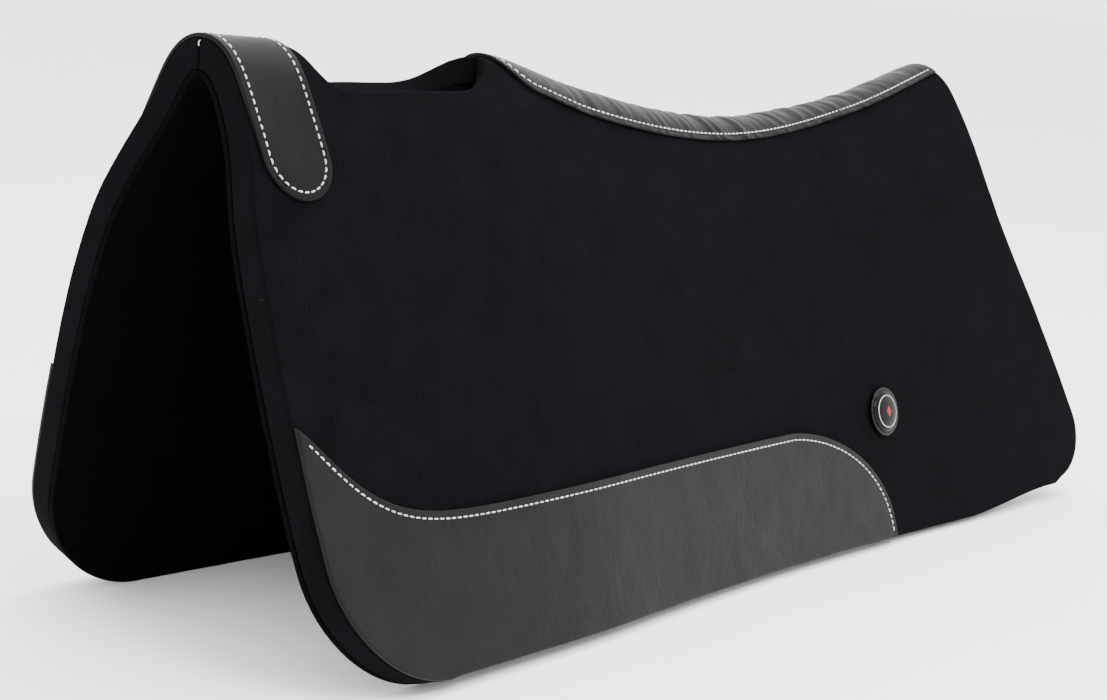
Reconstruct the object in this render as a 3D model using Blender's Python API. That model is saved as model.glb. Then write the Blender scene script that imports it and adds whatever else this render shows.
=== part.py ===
"""Contoured western saddle pad: felt halves, leathers, stitching and badges.

Frame: metres, +X towards the horse's head, +Y the horse's left, +Z up. The pad
stands on the lower edges of its flaps, with the origin on the floor under the
middle of its box.

Every layer lies on one pad surface. A point on it is given by `back`, its
distance behind the front end of the spine, and `down`, the length measured
along the felt from the spine down the flap (positive on the left flap, negative
on the right one). A layer is an outline in those two numbers, made solid
between two heights above the surface.
"""
import math

import bmesh
import bpy
import numpy as np
from mathutils import Vector

# ---- Driving dimensions, metres and degrees ----
OUTER_FELT = 0.018
INNER_FELT = 0.005
LEATHER = 0.0024
GAP = 0.0005                    # kept between two layers that touch
THREAD_RADIUS = 0.0006
THREAD_LIFT = 0.0008            # gap under a thread, which spans small facets

# Height of the outer felt face along the spine: (back, height)
SPINE_HEIGHTS = ((0.00, 0.365), (0.07, 0.362), (0.24, 0.357), (0.33, 0.336),
                 (0.50, 0.313), (0.66, 0.327), (0.80, 0.359))
# Slope of the felt below level: (down, at the front, at the back), degrees
FLAP_SLOPES = ((0.000, 0, 0), (0.030, 51, 53), (0.075, 62, 67), (0.190, 72, 74),
               (0.430, 69, 81))
SLOPE_LENGTH = 0.80             # the back slopes are reached this far back

# The flap's two upright edges, before their lower corners: (down, back)
FRONT_EDGE = ((0.00, 0.002), (0.06, 0.001), (0.13, -0.013), (0.26, -0.011), (0.42, 0.008))
REAR_EDGE = ((0.00, 0.787), (0.06, 0.798), (0.15, 0.820), (0.24, 0.857), (0.42, 0.943))
FRONT_CORNER = 0.075            # radius of a flap's lower front corner
REAR_CORNER = 0.048
REAR_CORNER_BACK = 0.862        # where the rear corner runs into the lower edge
LIFT_START = 0.72
REAR_LIFT = 0.010               # how far that corner is cut up from the floor
EDGE_SPARE = 0.010              # felt past the inner lower edge, cut flat at the floor

# Fold along the spine
FOLD_AXIS_HEIGHT = 0.335
OPEN_DEG = 15.0
CLOSE_DEG = 8.0
SPINE_GAP = 0.0012              # half of the joint between the felt halves

# Opening over the withers, through felt: from, to, half width along the felt
OPENING_FRONT = 0.064
OPENING_REAR = 0.238
OPENING_HALF = 0.042
OPENING_FRONT_SQUARE = 12       # the higher, the squarer that end of the opening
OPENING_REAR_SQUARE = 5

STRAP_REACH = 0.113             # withers strap: length down each flap
STRAP_FRONT = 0.003
STRAP_REAR = 0.056
STITCH_INSET = 0.005
STITCH_POINTS = 0.013           # spacing of the points along a stitched seam
SPINE_LEATHER_FRONT = 0.241
SPINE_LEATHER_REAR = 0.785
# Half width of the spine leather, which tapers to the rear: (back, half width)
SPINE_LEATHER_HALVES = ((0.24, 0.033), (0.36, 0.035), (0.50, 0.029), (0.63, 0.023), (0.79, 0.017))
SPINE_LEATHER_NOSE = 0.028      # radius of its two front corners

WEAR_HEIGHT = 0.094             # wear leather above the felt's lower edge
WEAR_TIP = 0.066                # how much higher it reaches at the front edge
WEAR_TIP_BACK = -0.014
WEAR_TIP_FADE = 0.049
WEAR_TIP_CURVE = 1.4
WEAR_REAR = 0.615
WEAR_REAR_REACH = 0.125         # length of its curved rear corner
BADGE_BACK = 0.614
BADGE_DOWN = 0.251
BADGE_RADIUS = 0.0185
BADGE_DOME_RADIUS = 0.0160
BADGE_SEAT = 0.0012             # flat back of the badge above the bowed felt
BADGE_RIM = 0.0026              # height of the cup's rim
BADGE_FLOOR = 0.0012            # thickness of the cup's floor
BADGE_BEVEL = 0.0006
DOME_RISE = 0.0034
POST_HEAD_RADIUS = 0.0045
POST_HEAD = 0.0007
WASHER = 0.0008
POST_RADIUS = 0.0022
WASHER_RADIUS = 0.0080
FIT = 0.0003                    # gap round the badge's small metal pieces
SEAM_THREAD_RADIUS = 0.0004
SEAM_SWING = 0.0004             # the seam thread weaves this far each way
SEAM_DEPTH = 0.0025
SEAM_PITCH = 0.010
SEAM_END = 0.004                # kept clear at each end of a seam thread

SIDES = (("left", 1), ("right", -1))
GRID_DOWN = (0.008, 0.016, 0.026, 0.040, 0.062, 0.095, 0.140, 0.190, 0.240, 0.290, 0.340, 0.390)
GRID_BACK_STEP = 0.050
PLAN_LIMIT = 0.6                # reach of construction solids past the pad


def smooth_curve(knots, values, at):
    """Smooth curve through the knots, straight past its two ends."""
    knots = np.asarray(knots, float)
    values = np.asarray(values, float)
    at = np.asarray(at, float)
    slopes = np.diff(values) / np.diff(knots)
    tangents = np.concatenate([slopes[:1], (slopes[1:] + slopes[:-1]) / 2, slopes[-1:]])
    i = np.clip(np.searchsorted(knots, at) - 1, 0, len(knots) - 2)
    step = knots[i + 1] - knots[i]
    t = np.clip((at - knots[i]) / step, 0, 1)
    past = at - knots[i] - t * step
    inside = ((2 * t**3 - 3 * t**2 + 1) * values[i] + (t**3 - 2 * t**2 + t) * step * tangents[i]
              + (3 * t**2 - 2 * t**3) * values[i + 1] + (t**3 - t**2) * step * tangents[i + 1])
    return inside + past * np.where(past < 0, tangents[i], tangents[i + 1])


DOWN_SAMPLES = np.linspace(0, 0.56, 281)
SLOPE_DOWN, SLOPE_FRONT, SLOPE_BACK = (np.array(column) for column in zip(*FLAP_SLOPES))
FRONT_SLOPES = np.radians(smooth_curve(SLOPE_DOWN, SLOPE_FRONT, DOWN_SAMPLES))
BACK_SLOPES = np.radians(smooth_curve(SLOPE_DOWN, SLOPE_BACK, DOWN_SAMPLES))


def section(back):
    """Slope, half width and fall of the felt's outer face at each sampled `down`."""
    share = np.clip(back / SLOPE_LENGTH, -0.2, 1.2)
    slope = FRONT_SLOPES * (1 - share) + BACK_SLOPES * share
    step = DOWN_SAMPLES[1]
    across = np.concatenate([[0], np.cumsum((np.cos(slope[1:]) + np.cos(slope[:-1])) / 2 * step)])
    fall = np.concatenate([[0], np.cumsum((np.sin(slope[1:]) + np.sin(slope[:-1])) / 2 * step)])
    return slope, across, fall


def spine_height(back):
    heights = np.array(SPINE_HEIGHTS)
    return float(smooth_curve(heights[:, 0], heights[:, 1], back))


def upright_edge(knots, down):
    edge = np.array(knots)
    return float(smooth_curve(edge[:, 0], edge[:, 1], down))


def flap_length(back):
    """`down` at which the felt's inner face meets the floor."""
    slope, across, fall = section(back)
    thickness = OUTER_FELT + GAP + INNER_FELT
    height = spine_height(back) - fall - thickness * np.cos(slope)
    return float(np.interp(0, -height[60:], DOWN_SAMPLES[60:]))


def outline_front(down, length):
    """Front edge with the lower corner rounded off."""
    over = max(0.0, down - (length - FRONT_CORNER))
    return upright_edge(FRONT_EDGE, down) + FRONT_CORNER - math.sqrt(max(0.0, FRONT_CORNER**2 - over**2))


def outline_rear(down, length):
    over = max(0.0, down - (length - REAR_CORNER))
    return upright_edge(REAR_EDGE, down) - REAR_CORNER + math.sqrt(max(0.0, REAR_CORNER**2 - over**2))


FRONT_LENGTH = flap_length(FRONT_CORNER) + EDGE_SPARE
REAR_LENGTH = flap_length(REAR_CORNER_BACK) - REAR_LIFT
FOREMOST = min(outline_front(down, FRONT_LENGTH) for down in np.linspace(0, FRONT_LENGTH, 60))
REARMOST = max(outline_rear(down, REAR_LENGTH) for down in np.linspace(0, REAR_LENGTH, 60))
MIDDLE = (FOREMOST + REARMOST) / 2


def place(back, down, height):
    """World position `height` above the pad surface at (back, down)."""
    slope, across, fall = section(back)
    side = -1 if down < 0 else 1
    angle = np.interp(abs(down), DOWN_SAMPLES, slope)
    y = np.interp(abs(down), DOWN_SAMPLES, across) + height * math.sin(angle)
    z = spine_height(back) - np.interp(abs(down), DOWN_SAMPLES, fall) + height * math.cos(angle)
    return Vector((MIDDLE - back, side * y, z))


# ---- Outlines, as lists of (back, down) ----
def edge_points(profile, start, end, length, count):
    """Points along a front or rear edge, closer together round its corner."""
    turn = 0.5 - 0.5 * np.cos(np.linspace(0, math.pi, count))
    return [(profile(down, length), down) for down in start + (end - start) * turn]


def lower_edge(front, rear, spare, count=16):
    """Lower edge, past the floor by `spare` but lifted off it towards the rear corner."""
    edge = []
    for back in np.linspace(front, rear, count):
        share = min(1.0, max(0.0, (back - LIFT_START) / (REAR_CORNER_BACK - LIFT_START)))
        share *= share * (3 - 2 * share)
        edge.append((back, flap_length(back) + spare * (1 - share) - REAR_LIFT * share))
    return edge


def felt_outline():
    """One flap: spine, with the withers opening cut out, then rear, lower and front edges."""
    opening = [(OPENING_FRONT + (OPENING_REAR - OPENING_FRONT) * t, opening_half(t))
               for t in (1 - np.cos(np.linspace(0, math.pi, 15))) / 2]
    rear = edge_points(outline_rear, 0.0, REAR_LENGTH, REAR_LENGTH, 16)
    front = edge_points(outline_front, FRONT_LENGTH, 0.0, FRONT_LENGTH, 16)
    lower = lower_edge(front[0][0], rear[-1][0], EDGE_SPARE)[::-1]
    return opening + rear + lower[1:-1] + front


def opening_half(share):
    """Half width of the withers opening, a rounded slot, along its length 0 to 1."""
    power = OPENING_FRONT_SQUARE if share < 0.5 else OPENING_REAR_SQUARE
    return OPENING_HALF * max(0.0, 1 - abs(2 * share - 1) ** power)


def strap_outline(inset=0.0, count=9):
    """Band over the spine with a half round end on each flap."""
    front, rear = STRAP_FRONT + inset, STRAP_REAR - inset
    radius = (rear - front) / 2
    centre = (front + rear) / 2
    straight = STRAP_REACH - inset - radius
    turn = np.linspace(0, math.pi, count)
    left = [(centre + radius * math.cos(a), straight + radius * math.sin(a)) for a in turn]
    right = [(centre - radius * math.cos(a), -straight - radius * math.sin(a)) for a in turn]
    return left + right


def spine_leather_edge(inset=0.0):
    """Left edge of the spine leather, from its nose to the back of the pad."""
    front, rear = SPINE_LEATHER_FRONT + inset, SPINE_LEATHER_REAR - inset
    halves = np.array(SPINE_LEATHER_HALVES)
    corner = SPINE_LEATHER_NOSE - inset
    backs = np.linspace(front + corner, rear, 12)
    half = smooth_curve(halves[:, 0], halves[:, 1], backs) - inset
    turn = np.linspace(0, math.pi / 2, 6)[:-1]
    nose = [(front + corner - corner * math.cos(a), half[0] - corner + corner * math.sin(a))
            for a in turn]
    return nose + list(zip(backs, half))


def spine_leather_outline():
    left = spine_leather_edge()
    return left + [(back, -down) for back, down in reversed(left)]


def wear_top(back, inset=0.0):
    """Upper edge of the wear leather: `down` at this distance back."""
    past_tip = max(0.0, back - WEAR_TIP_BACK) / WEAR_TIP_FADE
    rise = WEAR_HEIGHT + WEAR_TIP * math.exp(-past_tip ** WEAR_TIP_CURVE)
    return flap_length(back) - rise + inset


def wear_edge(inset=0.0):
    """Free edge of the wear leather, from the flap's front edge to its lower edge."""
    turn_start = WEAR_REAR - WEAR_REAR_REACH
    tip_down = wear_top(WEAR_TIP_BACK, inset)
    tip_back = outline_front(tip_down, FRONT_LENGTH)
    top = [(back, wear_top(back, inset)) for back in np.linspace(tip_back, turn_start, 14)]
    end_down = flap_length(WEAR_REAR) + EDGE_SPARE / 2
    last_down = top[-1][1]
    turn = np.linspace(0, math.pi / 2, 9)[1:]
    reach = WEAR_REAR_REACH - inset
    rear = [(turn_start + reach * math.sin(a) ** 1.1,
             end_down - (end_down - last_down) * math.cos(a)) for a in turn]
    return top + rear


def wear_outline():
    edge = wear_edge()
    bottom = FRONT_LENGTH - EDGE_SPARE / 2
    front = edge_points(outline_front, bottom, edge[0][1], FRONT_LENGTH, 12)
    lower = lower_edge(front[0][0], edge[-1][0], EDGE_SPARE / 2)[::-1]
    return front[:-1] + edge + lower[1:-1]


# ---- Solids ----
def material(name, colour, roughness, metallic=0.0):
    made = bpy.data.materials.new(name)
    made.use_nodes = True
    shader = made.node_tree.nodes["Principled BSDF"]
    shader.inputs["Base Color"].default_value = (*colour, 1.0)
    shader.inputs["Roughness"].default_value = roughness
    shader.inputs["Metallic"].default_value = metallic
    return made


def add_object(name, bm, slot):
    mesh = bpy.data.meshes.new(name)
    bmesh.ops.recalc_face_normals(bm, faces=bm.faces[:])
    if bm.calc_volume(signed=True) < 0:
        bmesh.ops.reverse_faces(bm, faces=bm.faces[:])
    bm.to_mesh(mesh)
    bm.free()
    mesh.materials.append(slot)
    made = bpy.data.objects.new(name, mesh)
    bpy.context.collection.objects.link(made)
    return made


def flat_outline(points):
    """Flat face with the outline, cut along the grid that all layers share."""
    bm = bmesh.new()
    bm.faces.new([bm.verts.new((back, down, 0)) for back, down in points])
    backs = [back for back, down in points]
    lines = [(Vector((step * GRID_BACK_STEP, 0, 0)), Vector((1, 0, 0)))
             for step in range(-1, 21) if min(backs) < step * GRID_BACK_STEP < max(backs)]
    lines += [(Vector((0, sign * down, 0)), Vector((0, 1, 0))) for down in GRID_DOWN for sign in (1, -1)]
    lines.append((Vector((0, 0, 0)), Vector((0, 1, 0))))
    for point, normal in lines:
        geometry = bm.verts[:] + bm.edges[:] + bm.faces[:]
        bmesh.ops.bisect_plane(bm, geom=geometry, plane_co=point, plane_no=normal, dist=1e-6)
    bmesh.ops.triangulate(bm, faces=bm.faces)
    return bm


def layer(name, points, low, high, slot, side=1):
    """Solid between two heights above the pad surface, inside an outline."""
    bm = flat_outline([(back, side * down) for back, down in points])
    lower = {vert: tuple(vert.co) for vert in bm.verts}
    made = bmesh.ops.extrude_face_region(bm, geom=bm.faces[:])
    upper = [item for item in made["geom"] if isinstance(item, bmesh.types.BMVert)]
    for vert in upper:
        vert.co = place(vert.co.x, vert.co.y, high)
    for vert, (back, down, _) in lower.items():
        vert.co = place(back, down, low)
    return add_object(name, bm, slot)


def as_guide(made):
    made.hide_render = True
    made.display_type = "WIRE"


def keep_only(target, section_points):
    """Trim a solid to a prism along X, given as (y, z) corners."""
    bm = bmesh.new()
    face = bm.faces.new([bm.verts.new((-PLAN_LIMIT, y, z)) for y, z in section_points])
    made = bmesh.ops.extrude_face_region(bm, geom=[face])
    moved = [item for item in made["geom"] if isinstance(item, bmesh.types.BMVert)]
    bmesh.ops.translate(bm, verts=moved, vec=(2 * PLAN_LIMIT, 0, 0))
    guide = add_object(target.name + "_guide", bm, target.data.materials[0])
    as_guide(guide)
    trim = target.modifiers.new("trim", "BOOLEAN")
    trim.operation = "INTERSECT"
    trim.object = guide


def flap_room(side):
    """Section that holds one flap, clear of the other through the whole fold."""
    top, top_slope = 0.45, math.tan(math.radians(OPEN_DEG / 2))
    low_slope = math.tan(math.radians(CLOSE_DEG / 2))
    points = [(SPINE_GAP + (top - FOLD_AXIS_HEIGHT) * top_slope, top), (PLAN_LIMIT, top),
              (PLAN_LIMIT, 0.0), (SPINE_GAP + FOLD_AXIS_HEIGHT * low_slope, 0.0),
              (SPINE_GAP, FOLD_AXIS_HEIGHT)]
    return [(side * y, z) for y, z in points]


def thread(name, points, slot, closed=False, radius=THREAD_RADIUS):
    """Round thread through world points."""
    curve = bpy.data.curves.new(name, "CURVE")
    curve.dimensions = "3D"
    curve.bevel_depth = radius
    curve.bevel_resolution = 0
    curve.use_fill_caps = not closed
    spline = curve.splines.new("POLY")
    spline.points.add(len(points) - 1)
    for point, where in zip(spline.points, points):
        point.co = (*where, 1.0)
    spline.use_cyclic_u = closed
    curve.materials.append(slot)
    made = bpy.data.objects.new(name, curve)
    bpy.context.collection.objects.link(made)


def evenly(points, spacing, closed=False):
    """Points at even spacing along a line of (back, down) points."""
    line = np.array(points + points[:1] if closed else points, float)
    length = np.concatenate([[0], np.cumsum(np.hypot(*np.diff(line, axis=0).T))])
    count = max(2, round(length[-1] / spacing))
    marks = np.linspace(0, length[-1], count + 1)
    if closed:
        marks = marks[:-1]
    return list(zip(np.interp(marks, length, line[:, 0]), np.interp(marks, length, line[:, 1])))


def stitch_line(name, points, slot, closed=False, spacing=STITCH_POINTS):
    height = GAP + LEATHER + THREAD_LIFT + THREAD_RADIUS
    thread(name, [place(back, down, height) for back, down in evenly(points, spacing, closed)],
           slot, closed)


def turned(name, profile, slot, frame, steps=20):
    """Solid of revolution: profile of (radius, height), from axis to axis."""
    bm = bmesh.new()
    rings = []
    for radius, height in profile:
        angles = np.linspace(0, 2 * math.pi, steps, endpoint=False)
        if radius == 0:
            rings.append([bm.verts.new((0, 0, height))])
        else:
            rings.append([bm.verts.new((radius * math.cos(a), radius * math.sin(a), height))
                          for a in angles])
    for below, above in zip(rings, rings[1:]):
        for i in range(steps):
            corners = [ring[i % len(ring)] for ring in (below,)] + [below[(i + 1) % len(below)]]
            corners += [above[(i + 1) % len(above)], above[i % len(above)]]
            unique = list(dict.fromkeys(corners))
            if len(unique) > 2:
                bm.faces.new(unique)
    made = add_object(name, bm, slot)
    made.data.shade_smooth()
    made.data.set_sharp_from_angle(angle=math.radians(35))
    origin, axis = frame
    made.rotation_mode = "QUATERNION"
    made.rotation_quaternion = axis.to_track_quat("Z", "Y")
    made.location = origin
    return made


def badge(side_name, side, metal, dome, felt_piece):
    """Domed badge riveted through the outer felt: cup, dome, post and back washer."""
    seat = place(BADGE_BACK, side * BADGE_DOWN, 0.0)
    axis = (place(BADGE_BACK, side * BADGE_DOWN, 0.01) - seat).normalized()
    frame = (seat + axis * BADGE_SEAT, axis)
    r, dome_r = BADGE_RADIUS, BADGE_DOME_RADIUS
    cup = [(0, 0.0), (r - BADGE_BEVEL, 0.0), (r, BADGE_BEVEL), (r, BADGE_RIM - 2 * BADGE_BEVEL),
           (r - BADGE_BEVEL, BADGE_RIM), (dome_r + FIT, BADGE_RIM), (dome_r + FIT, BADGE_FLOOR),
           (0, BADGE_FLOOR)]
    turned(f"badge_base_{side_name}", cup, metal, frame)
    bulge = [(dome_r * math.cos(a), BADGE_RIM + DOME_RISE * math.sin(a))
             for a in np.linspace(0, math.pi / 2, 6)[:-1]]
    low = BADGE_FLOOR + FIT
    turned(f"badge_dome_{side_name}", [(0, low), (dome_r, low)] + bulge
           + [(0, BADGE_RIM + DOME_RISE)], dome, frame)

    back = -BADGE_SEAT - OUTER_FELT
    head_low = back + FIT
    head_high = head_low + POST_HEAD
    washer_low = head_high + FIT
    washer_high = washer_low + WASHER
    post = [(0, head_low), (POST_HEAD_RADIUS, head_low), (POST_HEAD_RADIUS, head_high),
            (POST_RADIUS, head_high), (POST_RADIUS, -FIT), (0, -FIT)]
    turned(f"badge_post_{side_name}", post, metal, frame, steps=16)
    hole = POST_RADIUS + FIT
    washer = [(hole, washer_low), (WASHER_RADIUS, washer_low), (WASHER_RADIUS, washer_high),
              (hole, washer_high), (hole, washer_low)]
    turned(f"badge_washer_{side_name}", washer, metal, frame, steps=16)
    room = [(0, back - 0.001), (WASHER_RADIUS + FIT, back - 0.001),
            (WASHER_RADIUS + FIT, washer_high + FIT), (hole, washer_high + FIT),
            (hole, 0.001), (0, 0.001)]
    cutter = turned(f"badge_room_{side_name}", room, metal, frame, steps=16)
    as_guide(cutter)
    cut = felt_piece.modifiers.new("badge_hole", "BOOLEAN")
    cut.operation = "DIFFERENCE"
    cut.object = cutter


def seam_thread(name, start, end, slot):
    """Thread that weaves along the joint between the felt halves."""
    count = round((end - start) / SEAM_PITCH)
    points = []
    for i, back in enumerate(np.linspace(start, end, count + 1)):
        point = place(back, 0.0, -SEAM_DEPTH)
        point.y = SEAM_SWING * (1 if i % 2 else -1)
        points.append(point)
    thread(name, points, slot, radius=SEAM_THREAD_RADIUS)


# ---- The object ----
def clear_scene():
    for existing in list(bpy.data.objects):
        bpy.data.objects.remove(existing, do_unlink=True)


def build():
    clear_scene()
    felt = material("wool_felt", (0.012, 0.012, 0.016), 0.95)
    inner_felt = material("wool_felt_lining", (0.010, 0.010, 0.013), 0.97)
    leather = material("black_leather", (0.035, 0.036, 0.040), 0.48)
    white_thread = material("white_thread", (0.78, 0.77, 0.74), 0.7)
    metal = material("black_nickel", (0.060, 0.060, 0.065), 0.3, 1.0)
    dome = material("badge_enamel", (0.010, 0.010, 0.012), 0.08)

    inner_top = -OUTER_FELT - GAP
    for side_name, side in SIDES:
        outer = layer(f"felt_outer_{side_name}", felt_outline(), -OUTER_FELT, 0.0, felt, side)
        keep_only(outer, flap_room(side))
        inner = layer(f"felt_inner_{side_name}", felt_outline(), inner_top - INNER_FELT, inner_top,
                      inner_felt, side)
        keep_only(inner, flap_room(side))

        layer(f"wear_leather_{side_name}", wear_outline(), GAP, GAP + LEATHER, leather, side)
        seam = [(back, side * down) for back, down in wear_edge(STITCH_INSET)[1:-1]]
        stitch_line(f"wear_leather_stitching_{side_name}", seam, white_thread)
        seam = [(back, side * down) for back, down in spine_leather_edge(STITCH_INSET)]
        stitch_line(f"spine_leather_stitching_{side_name}", seam, white_thread)
        badge(side_name, side, metal, dome, outer)

    layer("withers_strap", strap_outline(), GAP, GAP + LEATHER, leather)
    stitch_line("withers_strap_stitching", strap_outline(STITCH_INSET), white_thread, closed=True)
    layer("spine_leather", spine_leather_outline(), GAP, GAP + LEATHER, leather)
    seam_thread("spine_seam_thread_front", SEAM_END, OPENING_FRONT - SEAM_END, white_thread)
    seam_thread("spine_seam_thread_rear", OPENING_REAR + SEAM_END, SPINE_LEATHER_REAR - SEAM_END,
                white_thread)


build()
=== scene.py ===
"""Looks of the contoured felt saddle pad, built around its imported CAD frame.

Layers lie on one pad surface, as in the CAD. A point on it is (back, down): the
distance behind the spine's front end, and the length along the felt from the
spine down the flap, positive on the left.
"""
import math

import bmesh
import bpy
import numpy as np
from mathutils import Matrix, Vector, noise


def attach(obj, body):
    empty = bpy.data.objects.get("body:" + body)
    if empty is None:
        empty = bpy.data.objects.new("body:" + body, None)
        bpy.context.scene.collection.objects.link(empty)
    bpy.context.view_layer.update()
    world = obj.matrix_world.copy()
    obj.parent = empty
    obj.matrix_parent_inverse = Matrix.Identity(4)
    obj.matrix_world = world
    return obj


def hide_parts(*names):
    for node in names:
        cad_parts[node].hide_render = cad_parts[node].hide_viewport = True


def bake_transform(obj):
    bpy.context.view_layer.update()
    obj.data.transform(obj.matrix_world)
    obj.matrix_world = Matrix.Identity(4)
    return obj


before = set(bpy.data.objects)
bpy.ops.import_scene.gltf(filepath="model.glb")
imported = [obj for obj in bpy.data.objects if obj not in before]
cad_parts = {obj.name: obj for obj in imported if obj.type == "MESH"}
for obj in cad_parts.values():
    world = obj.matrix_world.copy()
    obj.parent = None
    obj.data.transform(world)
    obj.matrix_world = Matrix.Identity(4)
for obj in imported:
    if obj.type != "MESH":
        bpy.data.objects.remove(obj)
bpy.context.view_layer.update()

RNG = np.random.default_rng(11)

# ---- Dimensions, metres and degrees, the same as the CAD's ----
OUTER_FELT = 0.018
INNER_FELT = 0.005
LEATHER = 0.0024
GAP = 0.0005
SPINE_HEIGHTS = ((0.00, 0.365), (0.07, 0.362), (0.24, 0.357), (0.33, 0.336),
                 (0.50, 0.313), (0.66, 0.327), (0.80, 0.359))
FLAP_SLOPES = ((0.000, 0, 0), (0.030, 51, 53), (0.075, 62, 67), (0.190, 72, 74),
               (0.430, 69, 81))
SLOPE_LENGTH = 0.80
FRONT_EDGE = ((0.00, 0.002), (0.06, 0.001), (0.13, -0.013), (0.26, -0.011), (0.42, 0.008))
REAR_EDGE = ((0.00, 0.787), (0.06, 0.798), (0.15, 0.820), (0.24, 0.857), (0.42, 0.943))
FRONT_CORNER = 0.075
REAR_CORNER = 0.048
REAR_CORNER_BACK, LIFT_START, REAR_LIFT = 0.862, 0.72, 0.010
EDGE_SPARE = 0.010
OPENING_FRONT, OPENING_REAR, OPENING_HALF = 0.064, 0.238, 0.042
OPENING_FRONT_SQUARE, OPENING_REAR_SQUARE = 12, 5
STRAP_REACH, STRAP_FRONT, STRAP_REAR = 0.113, 0.003, 0.056
STITCH_INSET = 0.005
SPINE_LEATHER_FRONT, SPINE_LEATHER_REAR = 0.241, 0.785
SPINE_LEATHER_HALVES = ((0.24, 0.033), (0.36, 0.035), (0.50, 0.029), (0.63, 0.023), (0.79, 0.017))
SPINE_LEATHER_NOSE = 0.028
WEAR_HEIGHT, WEAR_TIP, WEAR_TIP_BACK = 0.094, 0.066, -0.014
WEAR_TIP_FADE, WEAR_TIP_CURVE = 0.049, 1.4
WEAR_REAR, WEAR_REAR_REACH = 0.615, 0.125
BADGE_BACK, BADGE_DOWN = 0.614, 0.251
BADGE_RADIUS, BADGE_DOME_RADIUS, BADGE_SEAT = 0.0185, 0.0160, 0.0012
BADGE_RIM, BADGE_FLOOR, DOME_RISE, FIT = 0.0026, 0.0012, 0.0034, 0.0003

# ---- Looks only ----
EDGE_BACK = 0.0015              # leather stops this far inside the felt's rounded edge
FLOOR_CLEAR = 0.0003            # lowest height of any piece
LEATHER_SHORT = 0.0004          # the wear leather ends this far above the felt's lower edge
SPLIT_HALF = 0.0003             # each half's felt stops this far from the middle
FELT_EDGE, FELT_INSIDE_EDGE, LINING_EDGE = 0.0022, 0.0008, 0.0018       # corner radii
LEATHER_EDGE, LEATHER_INSIDE_EDGE, BADGE_BEVEL = 0.0008, 0.0003, 0.0006
STITCH_PITCH = 0.0051
STITCH_FILL = 0.68              # share of the pitch that shows as thread
STITCH_RADIUS = 0.00054
STITCH_BOW, STITCH_SUNK = 0.00055, 0.00035      # rise of a stitch's middle, depth of its ends
STITCH_SKEW = 0.0004
GROOVE_DEPTH, GROOVE_WIDTH = 0.00055, 0.0019    # where a seam pulls the leather down
DENT_HEIGHT, DENT_WIDTH = 0.0010, 0.0045        # where it shows through on the lining
GATHER_DEPTH, GATHER_BACK, GATHER_SPREAD = 0.0021, 0.56, 0.15
ZIGZAG_STEP, ZIGZAG_HALF, ZIGZAG_SUNK, ZIGZAG_RADIUS = 0.005, 0.0011, 0.0016, 0.0004
RING_INNER, RING_OUTER, RING_RISE = 0.0118, 0.0124, 0.00015
LOZENGE_LONG, LOZENGE_SHORT, LOZENGE_RISE = 0.0042, 0.0030, 0.00018
FELT_CELL = 0.0050
LEATHER_CELL = 0.0026
SIDES = (("left", 1), ("right", -1))


def smooth_curve(knots, values, at):
    """Smooth curve through the knots, straight past its two ends."""
    knots, values, at = (np.asarray(v, float) for v in (knots, values, at))
    slopes = np.diff(values) / np.diff(knots)
    tangents = np.concatenate([slopes[:1], (slopes[1:] + slopes[:-1]) / 2, slopes[-1:]])
    i = np.clip(np.searchsorted(knots, at) - 1, 0, len(knots) - 2)
    step = knots[i + 1] - knots[i]
    t = np.clip((at - knots[i]) / step, 0, 1)
    past = at - knots[i] - t * step
    inside = ((2 * t**3 - 3 * t**2 + 1) * values[i] + (t**3 - 2 * t**2 + t) * step * tangents[i]
              + (3 * t**2 - 2 * t**3) * values[i + 1] + (t**3 - t**2) * step * tangents[i + 1])
    return inside + past * np.where(past < 0, tangents[i], tangents[i + 1])


# Tables of the section at many distances back, read by interpolation
DOWNS = np.linspace(0, 0.56, 281)
SHARES = np.linspace(-0.2, 1.2, 141)
PAST_CROWN = 60                 # index in DOWNS from which the felt falls steadily
KNOTS, FRONT_KNOTS, BACK_KNOTS = (np.array(c) for c in zip(*FLAP_SLOPES))
SLOPES = np.radians((1 - SHARES)[:, None] * smooth_curve(KNOTS, FRONT_KNOTS, DOWNS)
                    + SHARES[:, None] * smooth_curve(KNOTS, BACK_KNOTS, DOWNS))


def running(values):
    steps = (values[:, 1:] + values[:, :-1]) / 2 * DOWNS[1]
    return np.concatenate([np.zeros((len(values), 1)), np.cumsum(steps, axis=1)], axis=1)


ACROSS, FALL = running(np.cos(SLOPES)), running(np.sin(SLOPES))


def lookup(table, back, down):
    i = (np.clip(back / SLOPE_LENGTH, SHARES[0], SHARES[-1]) - SHARES[0]) / (SHARES[1] - SHARES[0])
    j = np.clip(down, 0, DOWNS[-1]) / DOWNS[1]
    i0, j0 = np.minimum(i.astype(int), len(SHARES) - 2), np.minimum(j.astype(int), len(DOWNS) - 2)
    a, b = i - i0, j - j0
    return ((1 - a) * (1 - b) * table[i0, j0] + a * (1 - b) * table[i0 + 1, j0]
            + (1 - a) * b * table[i0, j0 + 1] + a * b * table[i0 + 1, j0 + 1])


def spine_height(back):
    heights = np.array(SPINE_HEIGHTS)
    return smooth_curve(heights[:, 0], heights[:, 1], back)


def flap_lengths(backs):
    found = []
    for back in backs:
        at = np.full(len(DOWNS), back)
        slope, fall = lookup(SLOPES, at, DOWNS), lookup(FALL, at, DOWNS)
        height = spine_height(back) - fall - (OUTER_FELT + GAP + INNER_FELT) * np.cos(slope)
        found.append(np.interp(0, -height[PAST_CROWN:], DOWNS[PAST_CROWN:]))
    return np.array(found)


LENGTH_BACKS = np.linspace(-0.05, 0.93, 99)
LENGTHS = flap_lengths(LENGTH_BACKS)


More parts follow.
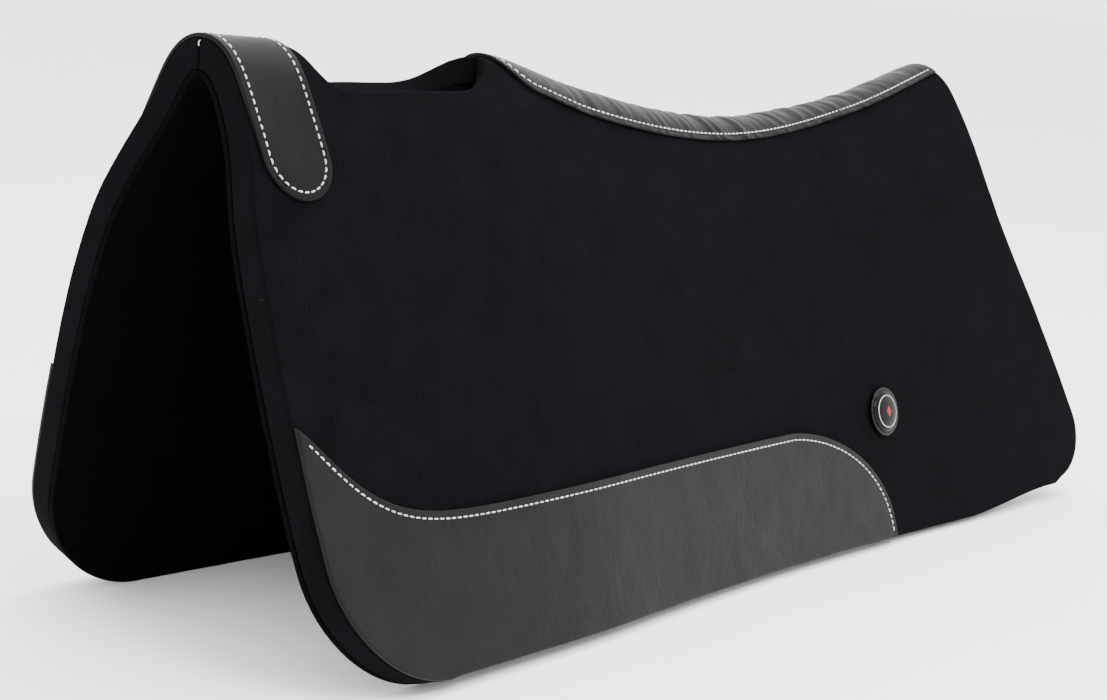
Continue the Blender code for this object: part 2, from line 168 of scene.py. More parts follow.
def flap_length(back):
    """`down` at which the inner face meets the floor."""
    return np.interp(back, LENGTH_BACKS, LENGTHS)


def upright_edge(knots, down):
    edge = np.array(knots)
    return smooth_curve(edge[:, 0], edge[:, 1], down)


def outline_front(down, length):
    over = np.clip(np.asarray(down, float) - (length - FRONT_CORNER), 0, FRONT_CORNER)
    return upright_edge(FRONT_EDGE, down) + FRONT_CORNER - np.sqrt(FRONT_CORNER**2 - over**2)


def outline_rear(down, length):
    over = np.clip(np.asarray(down, float) - (length - REAR_CORNER), 0, REAR_CORNER)
    return upright_edge(REAR_EDGE, down) - REAR_CORNER + np.sqrt(REAR_CORNER**2 - over**2)


def middle():
    downs = np.linspace(0, 1, 60)
    front, rear = flap_length(FRONT_CORNER) + EDGE_SPARE, flap_length(REAR_CORNER_BACK) - REAR_LIFT
    return (outline_front(downs * front, front).min() + outline_rear(downs * rear, rear).max()) / 2


MIDDLE = middle()


def place(back, down, height):
    """World positions `height` above the pad surface, kept above the floor."""
    back, down, height = np.broadcast_arrays(*(np.asarray(v, float) for v in (back, down, height)))
    angle = lookup(SLOPES, back, abs(down))
    y = lookup(ACROSS, back, abs(down)) + height * np.sin(angle)
    z = spine_height(back) - lookup(FALL, back, abs(down)) + height * np.cos(angle)
    return np.stack([MIDDLE - back, np.where(down < 0, -y, y), np.maximum(z, FLOOR_CLEAR)], axis=-1)


# ---- Outlines and seams in (back, down) ----
def evenly(points, spacing, closed=False):
    line = np.array(points, float)
    if closed:
        line = np.vstack([line, line[:1]])
    length = np.concatenate([[0], np.cumsum(np.hypot(*np.diff(line, axis=0).T))])
    marks = np.linspace(0, length[-1], max(2, round(length[-1] / spacing)) + 1)
    if closed:
        marks = marks[:-1]
    return np.stack([np.interp(marks, length, line[:, 0]), np.interp(marks, length, line[:, 1])], 1)


def edge_line(profile, start, end, length, count=60):
    turn = 0.5 - 0.5 * np.cos(np.linspace(0, math.pi, count))
    downs = start + (end - start) * turn
    return np.stack([profile(downs, length), downs], 1)


def opening_half(share):
    power = np.where(share < 0.5, OPENING_FRONT_SQUARE, OPENING_REAR_SQUARE)
    return OPENING_HALF * np.maximum(0.0, 1 - abs(2 * share - 1) ** power)


def lower_edge(backs):
    """Lower edge on the floor, lifted off it towards the rear corner."""
    share = np.clip((backs - LIFT_START) / (REAR_CORNER_BACK - LIFT_START), 0, 1)
    return flap_length(backs) - REAR_LIFT * share**2 * (3 - 2 * share)


def felt_outline():
    """One flap, cut square to its face at the floor."""
    share = (1 - np.cos(np.linspace(0, math.pi, 80))) / 2
    opening = np.stack([OPENING_FRONT + (OPENING_REAR - OPENING_FRONT) * share,
                        np.maximum(SPLIT_HALF, opening_half(share))], 1)
    front_length, rear_length = flap_length(FRONT_CORNER), flap_length(REAR_CORNER_BACK) - REAR_LIFT
    rear = edge_line(outline_rear, SPLIT_HALF, rear_length, rear_length)
    front = edge_line(outline_front, front_length, SPLIT_HALF, front_length)
    backs = np.linspace(rear[-1, 0], front[0, 0], 90)
    lower = np.stack([backs, lower_edge(backs)], 1)
    return np.vstack([opening, rear, lower[1:-1], front])


def strap_outline(inset=0.0):
    front, rear = STRAP_FRONT + inset, STRAP_REAR - inset
    radius, centre = (rear - front) / 2, (front + rear) / 2
    straight = STRAP_REACH - inset - radius
    turn = np.linspace(0, math.pi, 30)
    end = np.stack([centre + radius * np.cos(turn), straight + radius * np.sin(turn)], 1)
    far = np.stack([centre - radius * np.cos(turn), -straight - radius * np.sin(turn)], 1)
    return np.vstack([end, far])


def spine_leather_edge(inset=0.0):
    front, rear = SPINE_LEATHER_FRONT + inset, SPINE_LEATHER_REAR - inset
    halves = np.array(SPINE_LEATHER_HALVES)
    corner = SPINE_LEATHER_NOSE - inset
    backs = np.linspace(front + corner, rear, 40)
    half = smooth_curve(halves[:, 0], halves[:, 1], backs) - inset
    turn = np.linspace(0, math.pi / 2, 14)[:-1]
    nose = np.stack([front + corner - corner * np.cos(turn),
                     half[0] - corner + corner * np.sin(turn)], 1)
    return np.vstack([nose, np.stack([backs, half], 1)])


def wear_edge(inset=0.0):
    length = flap_length(FRONT_CORNER)

    def top(back):
        past_tip = np.maximum(0.0, back - WEAR_TIP_BACK) / WEAR_TIP_FADE
        rise = WEAR_HEIGHT + WEAR_TIP * np.exp(-past_tip ** WEAR_TIP_CURVE)
        return flap_length(back) - rise + inset
    turn_start = WEAR_REAR - WEAR_REAR_REACH
    backs = np.linspace(outline_front(top(WEAR_TIP_BACK), length) + EDGE_BACK, turn_start, 80)
    upper = np.stack([backs, top(backs)], 1)
    end_down = flap_length(WEAR_REAR) - LEATHER_SHORT
    turn = np.linspace(0, math.pi / 2, 30)[1:]
    rear = np.stack([turn_start + (WEAR_REAR_REACH - inset) * np.sin(turn) ** 1.1,
                     end_down - (end_down - upper[-1, 1]) * np.cos(turn)], 1)
    return np.vstack([upper, rear])


def wear_outline():
    edge = wear_edge()
    length = flap_length(FRONT_CORNER)
    front = edge_line(outline_front, length, edge[0, 1], length, 40) + (EDGE_BACK, 0)
    backs = np.linspace(edge[-1, 0], front[0, 0], 70)[1:-1]
    lower = np.stack([backs, flap_length(backs) - LEATHER_SHORT], 1)
    return np.vstack([edge, lower, front[:-1]])


# ---- Meshes ----
def add_mesh(name, verts, faces):
    mesh = bpy.data.meshes.new(name)
    mesh.from_pydata([tuple(v) for v in verts], [], faces)
    bm = bmesh.new()
    bm.from_mesh(mesh)
    bmesh.ops.recalc_face_normals(bm, faces=bm.faces[:])
    if bm.calc_volume(signed=True) < 0:
        bmesh.ops.reverse_faces(bm, faces=bm.faces[:])
    bm.to_mesh(mesh)
    bm.free()
    mesh.shade_smooth()
    made = bpy.data.objects.new(name, mesh)
    bpy.context.collection.objects.link(made)
    return made


def cut_sheet(outline, cell, inset):
    """Fine flat sheet inside an outline: points, faces, border loop and its outward normals."""
    line = evenly(outline, 0.003, closed=True)
    ahead, behind = np.roll(line, -1, 0), np.roll(line, 1, 0)
    tangent = ahead - behind
    tangent /= np.linalg.norm(tangent, axis=1)[:, None]
    area = np.sum(line[:, 0] * ahead[:, 1] - ahead[:, 0] * line[:, 1])
    normal = np.stack([tangent[:, 1], -tangent[:, 0]], 1) * (1 if area > 0 else -1)
    core = line - normal * inset

    bm = bmesh.new()
    bm.faces.new([bm.verts.new((*p, 0)) for p in core])
    for axis in (0, 1):
        low, high = core[:, axis].min(), core[:, axis].max()
        direction = Vector((1, 0, 0)) if axis == 0 else Vector((0, 1, 0))
        for value in np.arange(math.ceil(low / cell) * cell, high, cell):
            bmesh.ops.bisect_plane(bm, geom=bm.verts[:] + bm.edges[:] + bm.faces[:],
                                   plane_co=direction * value, plane_no=direction, dist=2e-5)
    bmesh.ops.triangulate(bm, faces=[face for face in bm.faces if len(face.verts) > 4])
    bm.verts.index_update()
    points = np.array([vert.co[:2] for vert in bm.verts])
    faces = [[vert.index for vert in face.verts] for face in bm.faces]
    following = {}
    for edge in bm.edges:
        if edge.is_boundary:
            a, b = (vert.index for vert in edge.verts)
            following.setdefault(a, []).append(b)
            following.setdefault(b, []).append(a)
    bm.free()
    first = next(iter(following))
    loop, last = [first], None
    while True:
        here = loop[-1]
        step = [i for i in following[here] if i != last]
        last = here
        if step[0] == first:
            break
        loop.append(step[0])
    rim = points[loop]
    segment = np.roll(core, -1, 0) - core
    share = np.clip(((rim[:, None] - core[None]) * segment).sum(2) / (segment**2).sum(1), 0, 1)
    nearest = np.linalg.norm(core + share[..., None] * segment - rim[:, None], axis=2).argmin(1)
    share = share[np.arange(len(rim)), nearest][:, None]
    out = normal[nearest] * (1 - share) + np.roll(normal, -1, 0)[nearest] * share
    return points, faces, np.array(loop), out


def shell(name, sheet, profile, side=1, top=None, low=None):
    """Solid from a cut sheet. profile is (inset, height) from the top face round to the low one."""
    points, faces, loop, out = sheet
    inset = profile[0][0]
    back, down = points[:, 0], points[:, 1] * side
    raised = top(back, down) if top else np.zeros(len(back))
    sunk = low(back, down) if low else np.zeros(len(back))
    verts = [place(back, down, profile[0][1] + raised), place(back, down, profile[-1][1] + sunk)]
    count, width = len(points), len(loop)
    rings = [loop]
    for k, (here, height) in enumerate(profile[1:-1]):
        at = points[loop] + out * (inset - here)
        fade = 1 - (k + 1) / (len(profile) - 1)
        shift = raised[loop] * fade + sunk[loop] * (1 - fade)
        verts.append(place(at[:, 0], at[:, 1] * side, height + shift))
        rings.append(2 * count + k * width + np.arange(width))
    rings.append(loop + count)
    made = [list(face) for face in faces] + [[i + count for i in face[::-1]] for face in faces]
    for upper, lower in zip(rings, rings[1:]):
        for i in range(width):
            j = (i + 1) % width
            made.append([int(upper[i]), int(upper[j]), int(lower[j]), int(lower[i])])
    return add_mesh(name, np.vstack(verts), made)


def rounded(high, low, top_radius, low_radius, steps=4):
    """Edge profile with both corners rounded; the two radii share the same inset."""
    inset = max(top_radius, low_radius)
    turn = np.linspace(0, math.pi / 2, steps + 1)
    upper = [(top_radius * (1 - math.sin(a)), high - top_radius * (1 - math.cos(a))) for a in turn]
    lower = [(low_radius * (1 - math.cos(a)), low + low_radius * (1 - math.sin(a))) for a in turn]
    start = [(inset, high)] if inset > top_radius + 1e-6 else []
    end = [(inset, low)] if inset > low_radius + 1e-6 else []
    return start + upper + lower + end


def wander(x, y, seed, scale_x, scale_y):
    return np.array([noise.noise(Vector((a * scale_x, b * scale_y, seed))) for a, b in zip(x, y)])


def seam_distance(back, down, seam):
    line = evenly(seam, 0.004)
    best = np.full(len(back), 9.0)
    for a, b in line:
        best = np.minimum(best, np.hypot(back - a, abs(down) - b))
    return best


def dashes(name, seam, height, closed=False, side=1):
    """A row of separate plump stitches, each dipping into the leather at both ends."""
    marks = evenly(seam, STITCH_PITCH, closed)
    if closed:
        marks = np.vstack([marks, marks[:1]])
    verts, faces = [], []
    rings, sides = 9, 10
    along = np.linspace(0, 1, rings)
    for start, end in zip(marks, marks[1:]):
        margin = (1 - STITCH_FILL) / 2
        skew = (RNG.random(2) - 0.5) * STITCH_SKEW
        share = margin + (1 - 2 * margin) * along
        row = start + (end - start) * share[:, None] + skew * (along - 0.5)[:, None]
        bow = 1 - abs(2 * along - 1) ** 3
        centre = place(row[:, 0], row[:, 1] * side, height + STITCH_BOW * bow - STITCH_SUNK)
        above = place(row[:, 0], row[:, 1] * side, height + 0.01)
        up = above - centre
        up /= np.linalg.norm(up, axis=1)[:, None]
        run = centre[-1] - centre[0]
        run /= np.linalg.norm(run)
        across = np.cross(run, up)
        radius = STITCH_RADIUS * (0.35 + 0.65 * np.sqrt(np.maximum(0, 1 - (2 * along - 1) ** 4)))
        radius *= 0.94 + 0.12 * RNG.random()
        base = len(verts)
        for i in range(rings):
            for k in range(sides):
                turn = 2 * math.pi * k / sides
                verts.append(centre[i] + radius[i] * (across[i] * math.cos(turn) + up[i] * math.sin(turn)))
        for i in range(rings - 1):
            for k in range(sides):
                a, b = base + i * sides + k, base + i * sides + (k + 1) % sides
                faces.append([a, b, b + sides, a + sides])
        faces.append([base + k for k in range(sides)][::-1])
        faces.append([base + (rings - 1) * sides + k for k in range(sides)])
    return add_mesh(name, verts, faces)


def turned(name, profile, side, steps=96):
    """Smooth solid of revolution on the badge's axis; profile is (radius, height)."""
    seat = place(BADGE_BACK, side * BADGE_DOWN, 0.0)
    axis = Vector(place(BADGE_BACK, side * BADGE_DOWN, 0.01) - seat).normalized()
    turn = axis.to_track_quat("Z", "Y")
    origin = Vector(seat) + axis * BADGE_SEAT
    verts, faces, rings = [], [], []
    for radius, height in profile:
        angles = [0.0] if radius == 0 else np.linspace(0, 2 * math.pi, steps, endpoint=False)
        rings.append([len(verts) + i for i in range(len(angles))])
        verts += [origin + turn @ Vector((radius * math.cos(a), radius * math.sin(a), height))
                  for a in angles]
    for lower, upper in zip(rings, rings[1:]):
        for i in range(steps):
            corners = [lower[i % len(lower)], lower[(i + 1) % len(lower)],
                       upper[(i + 1) % len(upper)], upper[i % len(upper)]]
            unique = list(dict.fromkeys(corners))
            if len(unique) > 2:
                faces.append(unique)
    made = add_mesh(name, verts, faces)
    made.data.set_sharp_from_angle(angle=math.radians(50))
    return made


# ---- Materials ----
def material(name, roughness, metallic=0.0, **sockets):
    made = bpy.data.materials.new(name)
    made.use_nodes = True
    shader = made.node_tree.nodes["Principled BSDF"]
    shader.inputs["Roughness"].default_value = roughness
    shader.inputs["Metallic"].default_value = metallic
    for socket, value in sockets.items():
        shader.inputs[socket.replace("_", " ")].default_value = value
    return made, made.node_tree, shader


def coords(tree, scale=(1, 1, 1), turn=(0, 0, 0)):
    where = tree.nodes.new("ShaderNodeTexCoord")
    mapping = tree.nodes.new("ShaderNodeMapping")
    mapping.inputs["Scale"].default_value = scale
    mapping.inputs["Rotation"].default_value = turn
    tree.links.new(where.outputs["Object"], mapping.inputs["Vector"])
    return mapping.outputs["Vector"]


def noise_of(tree, vector, scale, detail=4.0, rough=0.55, distortion=0.0):
    made = tree.nodes.new("ShaderNodeTexNoise")
    for socket, value in (("Scale", scale), ("Detail", detail), ("Roughness", rough),
                          ("Distortion", distortion)):
        made.inputs[socket].default_value = value
    tree.links.new(vector, made.inputs["Vector"])
    return made.outputs["Fac"]


def ramp_of(tree, value, stops):
    made = tree.nodes.new("ShaderNodeValToRGB")
    elements = made.color_ramp.elements
    while len(elements) < len(stops):
        elements.new(0.5)
    for element, (where, colour) in zip(elements, stops):
        element.position = where
        element.color = (*colour, 1) if len(colour) == 3 else colour
    tree.links.new(value, made.inputs["Fac"])
    return made.outputs["Color"]


def combine(tree, kind, a, b, factor=1.0):
    made = tree.nodes.new("ShaderNodeMix")
    made.data_type = "RGBA"
    made.blend_type = kind
    made.inputs["Factor"].default_value = factor
    tree.links.new(a, made.inputs["A"])
    tree.links.new(b, made.inputs["B"])
    return made.outputs["Result"]


def bump_on(tree, shader, height, strength, distance, before=None):
    made = tree.nodes.new("ShaderNodeBump")
    made.inputs["Strength"].default_value = strength
    made.inputs["Distance"].default_value = distance
    tree.links.new(height, made.inputs["Height"])
    if before:
        tree.links.new(before, made.inputs["Normal"])
    tree.links.new(made.outputs["Normal"], shader.inputs["Normal"])
    return made.outputs["Normal"]


def grey(value):
    return (value, value, value)


def felt_material(name, dark, light, lint):
    made, tree, shader = material(name, 0.97, Sheen_Weight=0.008, Sheen_Roughness=0.40)
    shader.inputs["Specular IOR Level"].default_value = 0.015
    shader.inputs["Sheen Tint"].default_value = (0.75, 0.80, 0.95, 1)
    fibre = noise_of(tree, coords(tree, (1, 0.35, 0.30), (0.5, 0.2, 0.3)), 1900, 5, 0.65, 0.6)
    cross = noise_of(tree, coords(tree, (0.3, 1, 1), (0.2, 0.9, 0.7)), 1500, 4, 0.6, 0.8)
    cloud = noise_of(tree, coords(tree), 38, 4, 0.6)
    nap = combine(tree, "MULTIPLY", fibre, cross)
    nap = combine(tree, "ADD", nap, cloud, 0.35)
    half_way = tuple((a + b) / 2 for a, b in zip(dark, light))
    colour = ramp_of(tree, nap, ((0.18, dark), (0.45, half_way), (0.80, light)))
    speck = noise_of(tree, coords(tree, (1, 0.25, 1), (0.4, 0.8, 1.1)), 620, 2, 0.5, 1.5)
    colour = combine(tree, "ADD", colour, ramp_of(tree, speck, ((0.77, grey(0)), (0.80, grey(lint)))))
    tree.links.new(colour, shader.inputs["Base Color"])
    nap_clump = noise_of(tree, coords(tree, (1, 0.5, 0.4), (0.3, 0.1, 0.5)), 520, 4, 0.7, 0.5)
    first = bump_on(tree, shader, fibre, 0.9, 0.0008)
    second = bump_on(tree, shader, cross, 0.8, 0.0008, first)
    bump_on(tree, shader, nap_clump, 0.8, 0.0014, second)
    return made


def leather_material(name, shine):
    made, tree, shader = material(name, 0.42, Specular_IOR_Level=shine)
    mottle = noise_of(tree, coords(tree), 24, 5, 0.6, 0.4)
    fine = noise_of(tree, coords(tree), 240, 4, 0.6)
    colour = ramp_of(tree, combine(tree, "ADD", mottle, fine, 0.25),
                     ((0.35, (0.0008, 0.0008, 0.0010)), (0.60, (0.0018, 0.0018, 0.0022)),
                      (0.85, (0.0036, 0.0036, 0.0042))))
    tree.links.new(colour, shader.inputs["Base Color"])
    tree.links.new(ramp_of(tree, mottle, ((0.3, grey(0.30)), (0.7, grey(0.50)))),
                   shader.inputs["Roughness"])
    grain = tree.nodes.new("ShaderNodeTexVoronoi")
    grain.feature = "DISTANCE_TO_EDGE"
    grain.inputs["Scale"].default_value = 780
    tree.links.new(coords(tree), grain.inputs["Vector"])
    pores = ramp_of(tree, grain.outputs["Distance"], ((0.0, grey(0)), (0.18, grey(1))))
    first = bump_on(tree, shader, pores, 0.22, 0.0002)
    second = bump_on(tree, shader, fine, 0.25, 0.0005, first)
    bump_on(tree, shader, mottle, 0.35, 0.0015, second)
    return made


def thread_material():
    made, tree, shader = material("white_thread_look", 0.6, Sheen_Weight=0.25)
    ply = tree.nodes.new("ShaderNodeTexWave")
    ply.wave_type = "BANDS"
    ply.bands_direction = "DIAGONAL"
    ply.inputs["Scale"].default_value = 420
    ply.inputs["Distortion"].default_value = 1.0
    tree.links.new(coords(tree), ply.inputs["Vector"])
    soil = noise_of(tree, coords(tree), 90, 3)
    shade = ramp_of(tree, soil, ((0.3, (0.36, 0.35, 0.33)), (0.65, (0.50, 0.49, 0.47))))
    lines = ramp_of(tree, ply.outputs["Fac"], ((0.0, grey(0.78)), (0.5, grey(1.0))))
    tree.links.new(combine(tree, "MULTIPLY", shade, lines), shader.inputs["Base Color"])
    bump_on(tree, shader, ply.outputs["Fac"], 0.5, 0.0002)
    return made


def metal_material():
    made, tree, shader = material("black_nickel_look", 0.25, 1.0)
    wear = noise_of(tree, coords(tree), 300, 4, 0.6)
    tree.links.new(ramp_of(tree, wear, ((0.3, (0.006, 0.006, 0.007)), (0.75, (0.018, 0.018, 0.020)))),
                   shader.inputs["Base Color"])
    tree.links.new(ramp_of(tree, wear, ((0.3, grey(0.18)), (0.8, grey(0.36)))),
                   shader.inputs["Roughness"])
    return made


def gloss_material(name, low, high):
    made, tree, shader = material(name, 0.10, Specular_IOR_Level=0.09)
    speck = noise_of(tree, coords(tree), 500, 3)
    tree.links.new(ramp_of(tree, speck, ((0.3, low), (0.7, high))), shader.inputs["Base Color"])
    return made


FELT = felt_material("wool_felt_look", (0.0002, 0.0002, 0.0003), (0.0048, 0.0049, 0.0060), 0.05)
# Painted shade: the lining is the same felt as the outer layer, made about a third as bright with dimmer
# lint specks, so the pad's underside and inside look dark.
LINING_WITH_PAINTED_SHADE = felt_material("wool_felt_lining_painted_shade_look", (0.0002, 0.0002, 0.0003), (0.0014, 0.0014, 0.0018), 0.01)
WEAR_LEATHER = leather_material("wear_leather_look", 0.088)
SPINE_LEATHER = leather_material("spine_leather_look", 0.056)
WHITE_THREAD = thread_material()
METAL = metal_material()
ENAMEL = gloss_material("badge_enamel_look", (0.0010, 0.0010, 0.0012), (0.0025, 0.0025, 0.0030))
PALE_INLAY = gloss_material("badge_pale_look", (0.30, 0.30, 0.29), (0.38, 0.38, 0.37))
RED_INLAY = gloss_material("badge_red_look", (0.22, 0.004, 0.004), (0.30, 0.008, 0.007))


def finish_piece(piece, look, nodes=(), body=None):
    piece.data.materials.clear()
    piece.data.materials.append(look)
    if nodes:
        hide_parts(*nodes)
    if body:
        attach(piece, body)
    else:
        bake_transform(piece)
    return piece


# ---- Felt ----
def felt_relief(seed, dents=0.0):
    def relief(back, down):
        lumps = 0.00045 * wander(back, down, seed, 34, 34)
        lumps += 0.00016 * wander(back, down, seed + 7, 130, 130)
        if dents:
            wear = seam_distance(back, down, wear_edge(STITCH_INSET))
            strap = seam_distance(back, down, strap_outline(STITCH_INSET)[:30])
            lumps += dents * (np.exp(-(wear / DENT_WIDTH) ** 2) + np.exp(-(strap / DENT_WIDTH) ** 2))
        return lumps
    return relief


outer_profile = rounded(0.0, -OUTER_FELT, FELT_EDGE, FELT_INSIDE_EDGE)
inner_top = -OUTER_FELT - GAP
inner_profile = rounded(inner_top, inner_top - INNER_FELT, FELT_INSIDE_EDGE, LINING_EDGE)
outer_sheet = cut_sheet(felt_outline(), FELT_CELL, outer_profile[0][0])
inner_sheet = cut_sheet(felt_outline(), FELT_CELL, inner_profile[0][0])
for side_name, side in SIDES:
    piece = shell(f"pad_felt_outer_{side_name}", outer_sheet, outer_profile, side, felt_relief(3 + side))
    finish_piece(piece, FELT, [f"felt_outer_{side_name}"])
    # The inner felt takes the lining look, whose darker colour is painted shade.
    piece = shell(f"pad_felt_inner_{side_name}", inner_sheet, inner_profile, side,
                  low=felt_relief(9 + side, DENT_HEIGHT))
    finish_piece(piece, LINING_WITH_PAINTED_SHADE, [f"felt_inner_{side_name}"])

# ---- Leather ----
TOP = GAP + LEATHER
leather_profile = rounded(TOP, GAP * 0.4, LEATHER_EDGE, LEATHER_INSIDE_EDGE, 3)


def leather_relief(seam, seed, wrinkle=0.0):
    def relief(back, down):
        groove = np.exp(-(seam_distance(back, down, seam) / GROOVE_WIDTH) ** 2)
        body = -GROOVE_DEPTH * groove + 0.00022 * wander(back, down, seed, 45, 45)
        if wrinkle:
            middle_share = np.exp(-((back - GATHER_BACK) / GATHER_SPREAD) ** 2) * 0.8 + 0.2
            folds = wander(back, down, seed + 3, 105, 14) + 0.7 * wander(back, down, seed + 5, 210, 26)
            body += wrinkle * middle_share * np.maximum(-0.25, folds) * (1 - groove * 0.6)
        return body
    return relief


strap_sheet = cut_sheet(strap_outline(), LEATHER_CELL, leather_profile[0][0])
strap_seam = strap_outline(STITCH_INSET)
strap = shell("strap_leather", strap_sheet, leather_profile, 1, leather_relief(strap_seam[:30], 21))
finish_piece(strap, SPINE_LEATHER, ["withers_strap"])
row = dashes("strap_stitches", strap_seam, TOP, closed=True)
finish_piece(row, WHITE_THREAD, ["withers_strap_stitching"])

left_edge = spine_leather_edge()
spine_sheet = cut_sheet(np.vstack([left_edge, (left_edge * (1, -1))[::-1]]), LEATHER_CELL,
                        leather_profile[0][0])
spine_seam = spine_leather_edge(STITCH_INSET)
spine = shell("spine_leather_gathered", spine_sheet, leather_profile, 1,
              leather_relief(spine_seam, 31, GATHER_DEPTH))
finish_piece(spine, SPINE_LEATHER, ["spine_leather"])

wear_sheet = cut_sheet(wear_outline(), LEATHER_CELL, leather_profile[0][0])
wear_seam = wear_edge(STITCH_INSET)[1:-1]
for side_name, side in SIDES:
    row = dashes(f"spine_stitches_{side_name}", spine_seam, TOP, side=side)
    finish_piece(row, WHITE_THREAD, [f"spine_leather_stitching_{side_name}"])
    panel = shell(f"wear_panel_{side_name}", wear_sheet, leather_profile, side,
                  leather_relief(wear_seam, 41 + side))
    finish_piece(panel, WEAR_LEATHER, [f"wear_leather_{side_name}"],
                 f"{side_name}_side")
    row = dashes(f"wear_stitches_{side_name}", wear_seam, TOP, side=side)
    finish_piece(row, WHITE_THREAD, [f"wear_leather_stitching_{side_name}"],
                 f"{side_name}_side")


# ---- Seam thread down the spine ----
def seam_thread(name, start, end, node):
    count = round((end - start) / ZIGZAG_STEP)
    backs = np.linspace(start, end, count + 1)
    points = place(backs, 0.0, -ZIGZAG_SUNK)
    points[:, 1] = ZIGZAG_HALF * np.where(np.arange(len(backs)) % 2, 1, -1)
    if start < OPENING_FRONT:
        tail = place([0.0015, 0.0013, 0.0015], 0.0, [-0.0048, -0.0036, -0.0022])
        points = np.vstack([tail, points])
    curve = bpy.data.curves.new(name, "CURVE")
    curve.dimensions = "3D"
    curve.bevel_depth, curve.bevel_resolution, curve.use_fill_caps = ZIGZAG_RADIUS, 2, True
    spline = curve.splines.new("POLY")
    spline.points.add(len(points) - 1)
    for point, where in zip(spline.points, points):
        point.co = (*where, 1.0)
    guide = bpy.data.objects.new(name + "_curve", curve)
    bpy.context.collection.objects.link(guide)
    mesh = bpy.data.meshes.new_from_object(guide)
    bpy.data.objects.remove(guide)
    made = bpy.data.objects.new(name, mesh)
    bpy.context.collection.objects.link(made)
    mesh.shade_smooth()
    finish_piece(made, WHITE_THREAD, [node])


seam_thread("crown_thread_front", 0.0035, OPENING_FRONT - 0.003, "spine_seam_thread_front")
seam_thread("crown_thread_rear", OPENING_REAR + 0.003, SPINE_LEATHER_REAR - 0.004,
            "spine_seam_thread_rear")


# ---- Badges, with a plain ring and lozenge in place of any mark ----
def dome_height(radius):
    return BADGE_RIM + DOME_RISE * math.sqrt(max(0.0, 1 - (radius / BADGE_DOME_RADIUS) ** 2))


def lozenge(name, side, half_long, half_short):
    seat = place(BADGE_BACK, side * BADGE_DOWN, 0.0)
    axis = Vector(place(BADGE_BACK, side * BADGE_DOWN, 0.01) - seat).normalized()
    origin = Vector(seat) + axis * BADGE_SEAT
    upward = (Vector((0, 0, 1)) - axis * axis.z).normalized()
    across = upward.cross(axis)
    count = 10
    verts, faces = [], []
    for level in (LOZENGE_RISE, -0.0003):
        for i in range(count + 1):
            for j in range(count + 1):
                a, b = i / count * 2 - 1, j / count * 2 - 1
                x, y = (a + b) / 2 * half_short, (a - b) / 2 * half_long
                height = dome_height(math.hypot(x, y)) + level
                verts.append(origin + across * x + upward * y + axis * height)
    size = (count + 1) ** 2

    def at(i, j, level):
        return level * size + i * (count + 1) + j
    for i in range(count):
        for j in range(count):
            for level in (0, 1):
                faces.append([at(i, j, level), at(i + 1, j, level),
                              at(i + 1, j + 1, level), at(i, j + 1, level)])
        for a, b, c, d in (((i, 0), (i + 1, 0), 0, 1), ((i, count), (i + 1, count), 0, 1),
                           ((0, i), (0, i + 1), 0, 1), ((count, i), (count, i + 1), 0, 1)):
            faces.append([at(*a, c), at(*b, c), at(*b, d), at(*a, d)])
    return add_mesh(name, verts, faces)


for side_name, side in SIDES:
    body = f"{side_name}_side"
    r, dome_r, bevel = BADGE_RADIUS, BADGE_DOME_RADIUS, BADGE_BEVEL
    rim_turn = [(r - bevel + bevel * math.cos(a), BADGE_RIM - bevel + bevel * math.sin(a))
                for a in np.linspace(0, math.pi / 2, 6)]
    cup = turned(f"badge_cup_{side_name}", [(0, 0.0), (r - bevel, 0.0), (r, bevel)] + rim_turn
                 + [(dome_r + FIT, BADGE_RIM), (dome_r + FIT, BADGE_FLOOR), (0, BADGE_FLOOR)], side)
    finish_piece(cup, METAL, [f"badge_base_{side_name}"], body)
    low = BADGE_FLOOR + FIT
    bulge = [(dome_r * math.cos(a), BADGE_RIM + DOME_RISE * math.sin(a))
             for a in np.linspace(0, math.pi / 2, 16)[:-1]]
    face = turned(f"badge_face_{side_name}", [(0, low), (dome_r, low)] + bulge
                  + [(0, BADGE_RIM + DOME_RISE)], side)
    finish_piece(face, ENAMEL, [f"badge_dome_{side_name}"], body)
    ring_line = [(radius, dome_height(radius) + rise) for radius, rise in (
        (RING_INNER, -0.0002), (RING_INNER, RING_RISE), (RING_OUTER, RING_RISE),
        (RING_OUTER, -0.0002), (RING_INNER, -0.0002))]
    ring = turned(f"badge_ring_{side_name}", ring_line, side)
    finish_piece(ring, PALE_INLAY, (), body)
    mark = lozenge(f"badge_lozenge_{side_name}", side, LOZENGE_LONG, LOZENGE_SHORT)
    finish_piece(mark, RED_INLAY, (), body)
    for part in ("post", "washer"):
        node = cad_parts[f"badge_{part}_{side_name}"]
        node.data.materials.clear()
        node.data.materials.append(METAL)


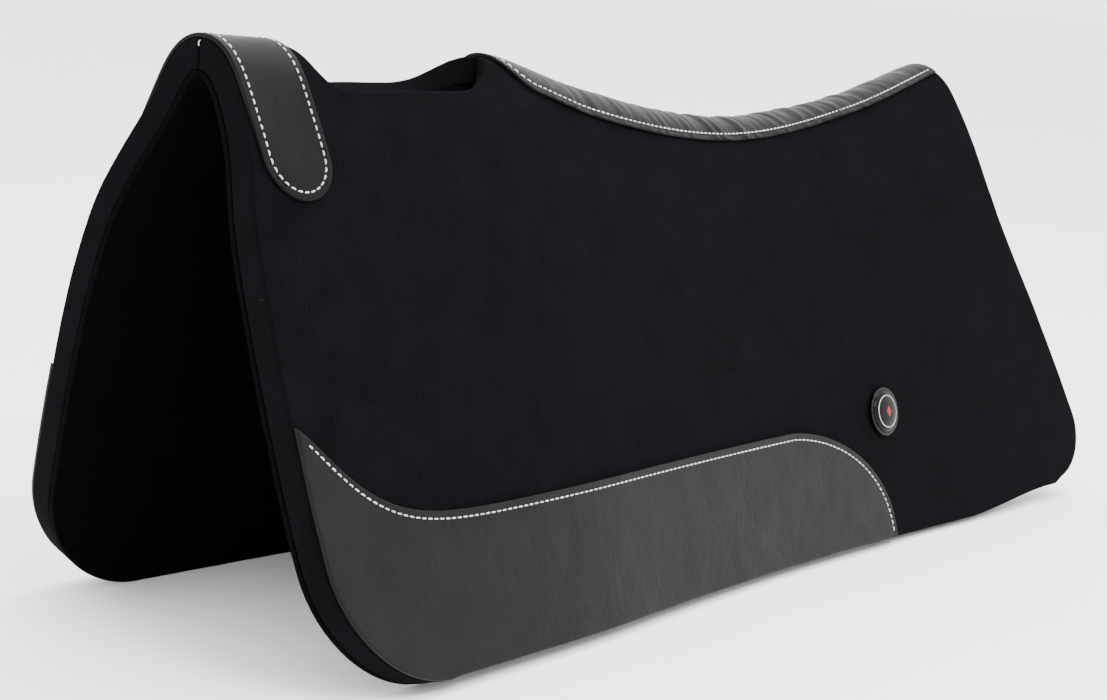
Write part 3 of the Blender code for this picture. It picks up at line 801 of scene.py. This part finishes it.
# ---- Floor, lights and camera ----
def pale_floor():
    made, tree, shader = material("pale_floor", 0.85)
    tone = noise_of(tree, coords(tree), 3, 2)
    shades = ramp_of(tree, tone, ((0.3, grey(0.95)), (0.7, grey(0.97))))
    tree.links.new(shades, shader.inputs["Base Color"])
    bpy.ops.mesh.primitive_plane_add(size=60, location=(0, 0, 0))
    floor = bpy.context.object
    floor.name = "floor"
    floor.data.materials.append(made)


def area_light(name, where, size, power, target=(0, 0, 0.18)):
    light = bpy.data.lights.new(name, "AREA")
    light.shape, light.size, light.energy = "DISK", size, power
    made = bpy.data.objects.new(name, light)
    made.location = where
    made.rotation_mode = "QUATERNION"
    made.rotation_quaternion = (Vector(target) - Vector(where)).to_track_quat("-Z", "Y")
    bpy.context.collection.objects.link(made)


pale_floor()
world = bpy.data.worlds.new("studio")
world.use_nodes = True
world.node_tree.nodes["Background"].inputs["Color"].default_value = (1, 1, 1, 1)
world.node_tree.nodes["Background"].inputs["Strength"].default_value = 3.2
bpy.context.scene.world = world
area_light("key", (0.6, 2.2, 2.4), 1.2, 90)
area_light("top", (-0.6, 0.2, 2.6), 2.0, 60)

CAMERA_AT = (MIDDLE + 0.868, 0.997, 0.4255)
CAMERA_YAW, CAMERA_PITCH, CAMERA_ROLL = 39.60, 9.82, 4.14
CAMERA_LENS = 74.1


def photo_camera():
    yaw, pitch, roll = (math.radians(v) for v in (CAMERA_YAW, CAMERA_PITCH, CAMERA_ROLL))
    look = Vector((-math.cos(pitch) * math.cos(yaw), -math.cos(pitch) * math.sin(yaw), -math.sin(pitch)))
    right = look.cross(Vector((0, 0, 1))).normalized()
    up = right.cross(look)
    turned_right = math.cos(roll) * right + math.sin(roll) * up
    turned_up = -math.sin(roll) * right + math.cos(roll) * up
    data = bpy.data.cameras.new("camera")
    data.lens, data.sensor_width = CAMERA_LENS, 36
    camera = bpy.data.objects.new("camera", data)
    bpy.context.collection.objects.link(camera)
    axes = Matrix((turned_right, turned_up, -look)).transposed().to_4x4()
    camera.matrix_world = Matrix.Translation(CAMERA_AT) @ axes
    bpy.context.scene.camera = camera


photo_camera()
